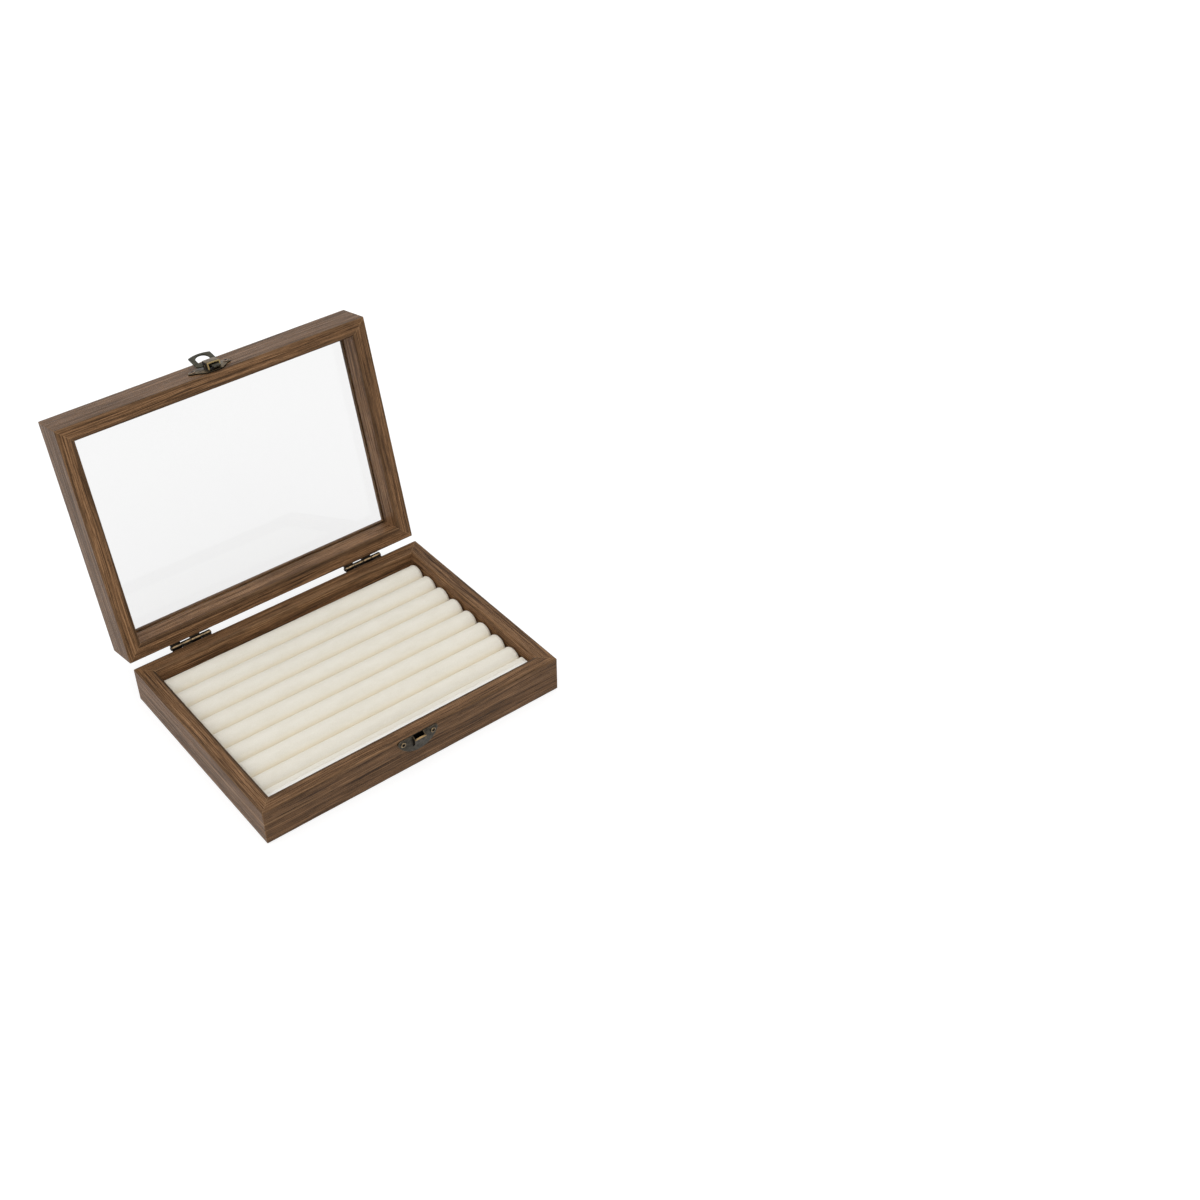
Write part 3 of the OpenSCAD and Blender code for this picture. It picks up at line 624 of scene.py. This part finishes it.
slab = {
    "steps": 60,  # places along the middle of a slab, and round each of its edges
    "edgeSteps": 5,
    "straight": 4 * mm,
    "railNumber": 271.0,  # own stretch of the print, away from those of the rails
    "paneLap": 3.5 * mm,  # how far the pane reaches into its groove, and its faces above the lid's rim
    "paneLow": 16.5 * mm,
    "paneHigh": 18.5 * mm,
}


def makeSlab(node, arris, slot, pane=False):
    # rectangle with rounded edges, carried along X between the node's low and high corner; its first and last
    # rows draw in by the arris. The pane is made shut and opened with the lid.
    low, high = (np.array(c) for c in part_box(node))
    if pane:
        low[1:] = -innerHalfDepth - slab["paneLap"], box["baseHeight"] + slab["paneLow"]
        high[1:] = innerHalfDepth + slab["paneLap"], box["baseHeight"] + slab["paneHigh"]
    corners = [(y, z, arris) for y, z in (low[1:], (high[1], low[2]), high[1:], (low[1], high[2]))]
    outline = roundedOutline(corners, slab["edgeSteps"], slab["straight"], guard=arris)[0]
    x, draw = stations(low[0], high[0], arris, slab["edgeSteps"], 2 * arris, slab["steps"])
    grid = drawnIn(outline, x, draw, (low + high)[1:] / 2, (high - low)[1:] / 2)
    if pane:
        grid = openLid(grid)
    even = np.ones(grid.shape[:2])
    piece = gridMesh(camelCased(node), grid, x - low[0], lengthsRound(outline),
                     {"paintedFaceLight": even, "railNumber": even * slab["railNumber"]})
    finish(piece, slot, node)


makeSlab("base_panel", 0.3 * mm, "stained_wood")
makeSlab("lining_board", 0.4 * mm, "cream_velvet")
makeSlab("glass_pane", 0.25 * mm, "clear_glass", pane=True)
print("boards and pane made")


roll = {
    "count": 8,
    "pitch": 14.775 * mm,
    "backEdge": 65.0 * mm,
    "radius": 7.2 * mm,  # before it swells
    "centre": 11.3375 * mm,
    "foot": 4.2 * mm,
    "halfLength": 89.5 * mm,
    "around": 40,  # points round it
    "shoulder": 1.5 * mm,  # rounding at the ends
    "shoulderSteps": 6,
    "disc": (0.0, 0.3, 0.55, 0.8),  # rings of the end disc as shares of its radius, and its doming
    "dome": 0.25 * mm,
    "body": (1.65, 1.8, 1.95, 2.1, 2.4, 3.0, 4.0, 5.4),  # first places of the body, in millimetres from an end
    "innerFrom": 7.5 * mm,  # the places after them, and how many
    "innerSteps": 62,
    "touch": 7.38 * mm,  # half the pitch, less a hair: rolls flatten where they meet
    "top": 18.72 * mm,
    "endRoom": 0.6 * mm,  # furthest that an end may stand out
    "seam": 1.9 * mm,  # stitched line in from each end, its width, its depth and the length of its stitches
    "seamWidth": 0.22 * mm,
    "seamDepth": 0.22 * mm,
    "seamFoot": 6 * mm,
    "stitch": 1.7 * mm,
    "glued": 0.6 * mm,  # height above the foot that stays on the board
    "swell": 0.4 * mm,  # furthest that a point may move while it swells
    "waver": 0.012 * mm,  # unevenness of the radius, and its spacing along the roll
    "waverStep": 14 * mm,
    "calm": 0.85,  # how far the swelling is evened out along the roll, so that the creases run straight
    "calmFrom": 6 * mm,  # where that sets in from an end, and over what length
    "calmOver": 8 * mm,
    "creaseTop": 5.6 * mm,  # height above the centre where the painted light of the crease sets in, and over what depth
    "creaseOver": 3.2 * mm,
    "frames": 14,
}
stuffing = {  # fabric of the rolls as the simulation sees it
    "quality": 5,
    "mass": 0.25,
    "tension_stiffness": 12,
    "compression_stiffness": 12,
    "shear_stiffness": 5,
    "bending_stiffness": 2.0,
    "use_pressure": True,
    "uniform_pressure_force": 4,
}


def rollStations():
    # places along a roll, the share of the radius and how far the outline draws in at each: a domed disc,
    # x = -half - dome (1 - share^2), then a quarter round, then the straight body, closer near the seam
    half, shoulder = roll["halfLength"], roll["shoulder"]
    disc, body = np.array(roll["disc"]), np.array(roll["body"]) * mm
    t = np.linspace(0, math.pi / 2, roll["shoulderSteps"])
    inner = np.linspace(-half + roll["innerFrom"], half - roll["innerFrom"], roll["innerSteps"])
    x = np.concatenate([-half - roll["dome"] * (1 - disc ** 2), -half + shoulder * (1 - np.cos(t)),
                        -half + body])
    scale = np.concatenate([disc, np.ones(len(t) + len(body))])
    draw = np.concatenate([np.full(len(disc), shoulder), shoulder * (1 - np.sin(t)), np.zeros(len(body))])
    kinds = ((x, inner, -1), (scale, np.ones(len(inner)), 1), (draw, np.zeros(len(inner)), 1))
    return [np.concatenate([left, between, sign * left[::-1]]) for left, between, sign in kinds]


def readVectors(items, kind):
    # the three numbers that each item has under a name, as rows
    values = np.empty(len(items) * 3)
    items.foreach_get(kind, values)
    return values.reshape(-1, 3)


def setPoints(piece, points):
    # moves a piece's points to new places
    piece.data.vertices.foreach_set("co", np.asarray(points, np.float32).ravel())
    piece.data.update()


def swollen(piece, held):
    # where the fabric's points go under inside pressure: held ones are glued or stitched and stay, and no other
    # moves by more than swell
    group = piece.vertex_groups.new(name="held")
    group.add(np.nonzero(held)[0].tolist(), 1.0, "REPLACE")
    modifier = piece.modifiers.new("stuffing", "CLOTH")
    for key, value in stuffing.items():
        setattr(modifier.settings, key, value)
    modifier.settings.vertex_group_mass = "held"
    modifier.settings.effector_weights.gravity = 0
    modifier.point_cache.frame_end = roll["frames"]
    scene = bpy.context.scene
    for step in range(1, roll["frames"] + 1):
        scene.frame_set(step)
    start = readVectors(piece.data.vertices, "co")
    shown = piece.evaluated_get(bpy.context.evaluated_depsgraph_get())
    after = readVectors(shown.data.vertices, "co")
    piece.modifiers.clear()
    piece.vertex_groups.clear()
    scene.frame_set(1)
    move = after - start
    far = np.linalg.norm(move, axis=1, keepdims=True)
    return start + move * np.minimum(1, roll["swell"] / np.maximum(far, 1e-9))


def subdivided(piece):
    # one applied level of Catmull-Clark smoothing
    modifier = piece.modifiers.new("smooth", "SUBSURF")
    modifier.levels = 1
    modifier.render_levels = 1
    mesh = bpy.data.meshes.new_from_object(piece.evaluated_get(bpy.context.evaluated_depsgraph_get()))
    piece.modifiers.clear()
    piece.data = mesh
    mesh.name = piece.name


def rollMesh(number, middle):
    # tube round the roll's own axis, flat where it stands on the board, and closed by a fan at each end; its
    # radius draws in at the shoulders and wavers. Returns the piece, its points and the places along X.
    x, scale, draw = rollStations()
    angle = np.linspace(0, 2 * math.pi, roll["around"], endpoint=False)
    ripple = np.stack([smoothNoise(number * 31 + k, len(x), roll["waverStep"], 2 * roll["halfLength"])
                       for k in range(4)], 1)
    lean = (ripple[:, :1] * np.cos(angle) + ripple[:, 1:2] * np.sin(angle)
            + ripple[:, 2:3] * np.cos(2 * angle + 1))
    radius = (roll["radius"] - draw[:, None]) * scale[:, None] + roll["waver"] * lean * scale[:, None]
    grid = np.stack([np.broadcast_to(x[:, None], radius.shape), middle + radius * np.sin(angle),
                     roll["centre"] - radius * np.cos(angle)], -1)
    grid[..., 2] = np.maximum(grid[..., 2], roll["foot"])
    rows, columns = radius.shape
    points = np.vstack([grid[0, :1], grid[1:-1].reshape(-1, 3), grid[-1, :1]])
    body = 1 + np.arange((rows - 2) * columns).reshape(rows - 2, columns)
    onward = np.roll(body, -1, 1)
    quads = np.stack([body[:-1], onward[:-1], onward[1:], body[1:]], -1).reshape(-1, 4)[:, ::-1]
    leftFan = np.stack([np.zeros(columns, int), onward[0], body[0]], -1)[:, ::-1]
    rightFan = np.stack([np.full(columns, len(points) - 1), body[-1], onward[-1]], -1)[:, ::-1]
    return buildMesh("ringRoll%d" % number, points, [quads, leftFan, rightFan], sharp=180), points, x


def makeRoll(number):
    # the tube swells, is smoothed and cut flat against its neighbours, and then gets its stitched seams:
    # depth = seamDepth exp(-(distance / seamWidth)^2) (0.65 + 0.35 cos(2 pi arc / stitch))
    middle = roll["backEdge"] - roll["pitch"] * (number - 0.5)
    piece, points, x = rollMesh(number, middle)
    seamAt = roll["halfLength"] - roll["seam"]
    held = (np.abs(np.abs(points[:, 0]) - seamAt) < 0.12 * mm) | (points[:, 2] < roll["foot"] + roll["glued"])
    rows = len(x) - 2
    move = (swollen(piece, held) - points)[1:-1].reshape(rows, -1, 3)
    fromEnd = roll["halfLength"] - np.abs(x[1:-1])
    inwards = np.clip((fromEnd - roll["calmFrom"]) / roll["calmOver"], 0, 1)[:, None, None]
    calm = roll["calm"] * inwards
    points[1:-1] += (move * (1 - calm) + move[20:-20].mean(0) * calm).reshape(-1, 3)
    setPoints(piece, points)
    subdivided(piece)
    points = readVectors(piece.data.vertices, "co")
    furthest = roll["halfLength"] + roll["endRoom"]
    points[:, 0] = np.clip(points[:, 0], -furthest, furthest)
    points[:, 1] = middle + np.clip(points[:, 1] - middle, -roll["touch"], roll["touch"])
    points[:, 2] = np.clip(points[:, 2], roll["foot"], roll["top"])
    setPoints(piece, points)
    normals = readVectors(piece.data.vertex_normals, "vector")
    fromSeam = np.abs(np.abs(points[:, 0]) - seamAt)
    arc = np.arctan2(points[:, 1] - middle, points[:, 2] - roll["centre"]) * roll["radius"]
    stitches = 0.65 + 0.35 * np.cos(arc / roll["stitch"] * 2 * math.pi)
    groove = np.exp(-(fromSeam / roll["seamWidth"]) ** 2) * stitches
    points = points - normals * (groove * roll["seamDepth"])[:, None] * (points[:, 2:] > roll["seamFoot"])
    setPoints(piece, points)
    # painted light low on the roll's sides, against the shade between rolls, kept off the seam
    deep = np.clip((roll["centre"] + roll["creaseTop"] - points[:, 2]) / roll["creaseOver"], 0, 1)
    attribute = piece.data.attributes.new("crease", "FLOAT", "POINT")
    attribute.data.foreach_set("value", (deep * (1 - groove)).astype(np.float32))
    finish(piece, "cream_velvet", "ring_roll_%d" % number)


for number in range(1, roll["count"] + 1):
    makeRoll(number)
print("rolls made")

pad = {
    "front": -65.35 * mm,
    "back": -53.25 * mm,
    "foot": 4.2 * mm,
    "top": 17.5 * mm,
    "footEdge": 0.4 * mm,  # roundings: lower edges, upper front edge and rolled back edge
    "frontEdge": 0.5 * mm,
    "bead": 2.2 * mm,
    "topFrom": 1.5 * mm,  # how far below the top an outline point still belongs to it
    "crown": 0.16 * mm,  # rise of the rolled back part and of the flat strip
    "flat": 0.08 * mm,
    "seamAt": -57.9 * mm,  # stitched line behind the flat strip
    "seamWidth": 0.3 * mm,
    "seamDepth": 0.5 * mm,
    "stitch": 1.8 * mm,
    "waver": 0.05,  # unevenness of the top in millimetres, and its spacing
    "waverStep": 11 * mm,
    "halfLength": 89.5 * mm,
    "shoulder": 0.9 * mm,  # rounding at the ends
    "shoulderSteps": 6,
    "innerFrom": 1.6 * mm,  # the places after it, and how many
    "innerSteps": 120,
    "paleAt": 2.4 * mm,  # brushed strip: its middle in front of the seam, its width and its strength
    "paleWidth": 2.2 * mm,
    "pale": 0.9,
    "creaseTop": 15.6 * mm,  # height where the painted light of the crease sets in, and over what depth
    "creaseOver": 3 * mm,
}


def makeFrontPad():
    # wrapped strip in front of the rolls: an outline (y, z) with a rolled back edge, a stitched line and a flat
    # top, carried along X and rounded off at both ends. Its top rises by crown sin(pi u) behind the seam and by
    # flat sin(pi v) before it, and dips by seamDepth exp(-(distance / seamWidth)^2) at it.
    front, back, foot, top = pad["front"], pad["back"], pad["foot"], pad["top"]
    outline = roundedOutline([(front, foot, pad["footEdge"]), (back, foot, pad["footEdge"]),
                              (back, top, pad["bead"]), (front, top, pad["frontEdge"])],
                             arcSteps=9, straight=0.55 * mm, guard=0.3 * mm)[0]
    onTop = outline[:, 1] > top - pad["topFrom"]
    seamAt = pad["seamAt"]
    behind = outline[:, 0] - seamAt
    crown = pad["crown"] * np.sin(np.clip(behind / (back - seamAt), 0, 1) * math.pi)
    flat = pad["flat"] * np.sin(np.clip(-behind / (seamAt - front), 0, 1) * math.pi)
    dip = pad["seamDepth"] * np.exp(-(behind / pad["seamWidth"]) ** 2)
    half = pad["halfLength"]
    x, draw = stations(-half, half, pad["shoulder"], pad["shoulderSteps"], pad["innerFrom"], pad["innerSteps"])
    waver = smoothNoise(901, len(x), pad["waverStep"], 2 * half) * pad["waver"] * mm
    stitches = 0.8 + 0.2 * np.cos(x / pad["stitch"] * 2 * math.pi)
    low, high = np.array([front, foot]), np.array([back, top])
    grid = drawnIn(outline, x, draw, (low + high) / 2, (high - low) / 2)
    grid[..., 2] += onTop[None] * (crown[None] * (1 + 3 * waver[:, None] / (0.3 * mm)) + flat[None]
                                   - dip[None] * stitches[:, None] + waver[:, None])
    pale = np.exp(-((behind + pad["paleAt"]) / pad["paleWidth"]) ** 2) * onTop * pad["pale"]
    # painted light low on the pad's sides
    deep = np.clip((pad["creaseTop"] - outline[:, 1]) / pad["creaseOver"], 0, 1)
    wide = np.zeros((len(x), 1))
    piece = gridMesh("frontPad", grid, x, lengthsRound(outline), sharp=60,
                     values={"pale": pale[None] + wide, "crease": deep[None] + wide})
    finish(piece, "cream_velvet", "front_pad")


makeFrontPad()
print("front pad made")


metal = {
    "edge": 0.12 * mm,  # rounding of the stamped edges
    "edgeAngle": math.radians(38),  # edges that it takes
    "shadeAngle": math.radians(32),  # edges that stay sharp in the shading
    "flat": math.radians(0.6),  # faces that count as one plane
    "weld": 0.002 * mm,
    "nodes": {  # plating: the nodes that have it
        "hingeBarrel": ("base_leaf_left", "base_leaf_right", "lid_leaf_left", "lid_leaf_right",
                        "hinge_pin_left", "hinge_pin_right", "base_hinge_screws", "lid_hinge_screws"),
        "latchPlate": ("latch_case",),
        "latchScrews": ("latch_case_screws",),
        "leverPlate": ("latch_lever",),
        "keeperPlate": ("keeper",),
        "keeperScrews": ("keeper_screws",),
    },
}


def markDriveShade(mesh, axis):
    # painted shade of each screw drive: 1 on the screw's axis, falling to 0 at the rim of its head; the two lie
    # left and right of x = 0
    points = readVectors(mesh.vertices, "co")
    drive = np.zeros(len(points))
    for right in (False, True):
        own = (points[:, 0] > 0) == right
        away = points[own] - (points[own].min(0) + points[own].max(0)) / 2
        across = away - (away @ np.array(axis))[:, None] * np.array(axis)
        far = np.linalg.norm(across, axis=1)
        drive[own] = 1 - far / far.max()
    mesh.attributes.new("drive", "FLOAT", "POINT").data.foreach_set("value", drive)


def welded(node):
    # the node's loose triangles as one connected shape
    work = bmesh.new()
    work.from_mesh(frame["nodes"][node].data)
    bmesh.ops.remove_doubles(work, verts=work.verts, dist=metal["weld"])
    return work


def fromWork(node, work, sharpAngle):
    # smooth piece out of a node's bmesh, with the edges past an angle left sharp in the shading
    name = camelCased(node)
    mesh = bpy.data.meshes.new(name)
    work.to_mesh(mesh)
    work.free()
    mesh.polygons.foreach_set("use_smooth", np.ones(len(mesh.polygons), bool))
    mesh.set_sharp_from_angle(angle=sharpAngle)
    return placed(name, mesh)


def softEdged(node, plating):
    # copy of a plain node with every edge sharper than edgeAngle rounded off
    work = welded(node)
    bmesh.ops.dissolve_limit(work, angle_limit=metal["flat"], verts=work.verts, edges=work.edges)
    edges = [e for e in work.edges if len(e.link_faces) == 2 and e.calc_face_angle(0) > metal["edgeAngle"]]
    bmesh.ops.bevel(work, geom=edges, offset=metal["edge"], offset_type="OFFSET", segments=2, profile=0.5,
                    affect="EDGES", clamp_overlap=True)
    bmesh.ops.triangulate(work, faces=[f for f in work.faces if len(f.verts) > 4])
    bmesh.ops.recalc_face_normals(work, faces=work.faces)
    piece = fromWork(node, work, metal["shadeAngle"])
    if plating in ("keeperScrews", "latchScrews"):
        markDriveShade(piece.data, hardware[plating]["toward"])
    finish(piece, "antique_bronze", node, plated[plating])


for plating, nodes in metal["nodes"].items():
    for node in nodes:
        softEdged(node, plating)
print("plated parts made")

# painted shade: the black sheet at the back of the keeper's pocket
pocketShadeSheet = {
    "halfWidth": 3.7 * mm,
    "high": 23.6 * mm,
    "low": 15.6 * mm,
    "back": 0.01 * mm,  # how far its back and its front lie off the wall
    "front": 0.02 * mm,
    "thickness": 0.12 * mm,
    "rows": 24,
    "columns": 14,
}
# painted shade: the black material of that sheet
shadeBlack = antiqueBronze("paintedShadeBlack", bronze["grime"], bronze["patina"])


def makeKeeperShadeSheet():
    # painted shade: a black sheet at the back of the keeper's pocket, so that the pocket shows dark, flat against
    # the
    # wall with its upper edge rolled forwards: thickness (1.2 + 1.5 exp(-(t / 0.05)^2)), thinning to its sides by
    # 1 - |x / halfWidth|^12
    rows, columns = pocketShadeSheet["rows"], pocketShadeSheet["columns"]
    t = np.linspace(0, 1, rows)[:, None]
    z = pocketShadeSheet["high"] + (pocketShadeSheet["low"] - pocketShadeSheet["high"]) * t
    bulge = pocketShadeSheet["thickness"] * (1.2 + 1.5 * np.exp(-(t / 0.05) ** 2))
    x = np.linspace(-pocketShadeSheet["halfWidth"], pocketShadeSheet["halfWidth"], columns)[None]
    edge = 1 - np.abs(x / pocketShadeSheet["halfWidth"]) ** 12
    wall = -box["halfDepth"]
    front = np.stack([x + 0 * z, wall - pocketShadeSheet["front"] - bulge * edge, z + 0 * x], -1)
    back = np.stack([x + 0 * z, np.full((rows, columns), wall - pocketShadeSheet["back"]), z + 0 * x], -1)
    grid = np.concatenate([front, back[:, ::-1]], 1)
    piece = gridMesh("keeperLiner", grid, np.arange(rows) * mm, np.arange(2 * columns + 1) * mm)
    finish(piece, "antique_bronze", look=shadeBlack)


makeKeeperShadeSheet()

spring = {
    "leg": 0.54 * mm,  # from the middle of the coil to each leg, along the lever's pin
    "wire": 0.2 * mm,  # radius of its wire
    "shadeAngle": math.radians(50),
}


def makeSpring():
    # spring of the lever, one leg on the case's plate and the other on the lever: a smooth-shaded copy of its
    # plain node with the spring wire finish, attached to no body, so that it neither follows the lever nor twists
    piece = fromWork("latch_spring", welded("latch_spring"), spring["shadeAngle"])
    piece.data.materials.append(finishes["spring_wire"])
    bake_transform(piece)
    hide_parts("latch_spring")


makeSpring()
print("metal parts made")


# nodes that stay as they are
for part in frame["record"]["subparts"]:
    slots = frame["nodes"][part["node"]].data.materials
    slots.clear()
    slots.append(finishes[part["material_slot"]])


view = {
    "place": (-344.36, -665.86, 671.36),  # millimetres
    "turn": (50.801, 0.071, -38.996),  # degrees
    "lens": 49.533,
}
camera = placed("camera", bpy.data.cameras.new("camera"))
camera.location = Vector(view["place"]) * mm
camera.rotation_euler = [math.radians(a) for a in view["turn"]]
camera.data.lens = view["lens"]
camera.data.sensor_width = 36
bpy.context.scene.camera = camera
bpy.context.scene.view_settings.view_transform = "Standard"

studio = {
    "dome": 0.56,  # light of the white room on the object; the room itself shows as 1
    "floor": "d4d4d4",
    "floorSeen": "a8a8a8",  # the same paper as the eye sees it, with the lift that brings it to white
    "floorLift": 0.73,
    "lamps": {  # direction to shine from, strength, softness in degrees
        "overhead": ((-0.10, 0.05, 1.0), 1.20, 100),
        "left": ((-0.9, -0.1, 0.40), 0.30, 70),
        "front": ((-0.25, -0.8, 0.55), 0.20, 60),
    },
}


def seenDirectly(add):
    # 1 for what the eye sees straight, in a mirror or through glass, and 0 for light that falls on the object
    path = add("LightPath")
    straight = add("Math", {0: path.outputs["Is Camera Ray"], 1: path.outputs["Is Glossy Ray"]},
                   operation="MAXIMUM")
    return add("Math", {0: straight, 1: path.outputs["Is Transmission Ray"]}, operation="MAXIMUM")


world = bpy.data.worlds.new("studio")
bpy.context.scene.world = world
add = cleared(world)
strength = add("MapRange", {"Value": seenDirectly(add), 3: studio["dome"], 4: 1.0})
room = add("Background", {"Color": (1, 1, 1, 1), "Strength": strength})
add("OutputWorld", {"Surface": room})

for name, (direction, energy, softness) in studio["lamps"].items():
    light = bpy.data.lights.new(name, "SUN")
    light.energy = energy
    light.angle = math.radians(softness)
    placed(name, light).rotation_euler = Vector(direction).to_track_quat("Z", "Y").to_euler()

floorHalf = 6.0
floorMesh = bpy.data.meshes.new("floor")
corners = [(x * floorHalf, y * floorHalf, 0) for x, y in ((-1, -1), (1, -1), (1, 1), (-1, 1))]
floorMesh.from_pydata(corners, [], [(0, 1, 2, 3)])
floor = placed("floor", floorMesh)
paper, add = newMaterial("whitePaper")
seen = seenDirectly(add)
paperColour = add("Mix", {0: seen, 6: linear(studio["floor"]), 7: linear(studio["floorSeen"])},
                  data_type="RGBA")
paperSurface = add("BsdfDiffuse", {"Color": paperColour})
lift = add("Math", {0: seen, 1: studio["floorLift"]}, operation="MULTIPLY")
glow = add("Emission", {"Color": (1, 1, 1, 1), "Strength": lift})
whole = add("AddShader", {0: paperSurface, 1: glow})
add("OutputMaterial", {"Surface": whole})
floorMesh.materials.append(paper)
floor.location.z = -0.0002
print("camera and lights set")
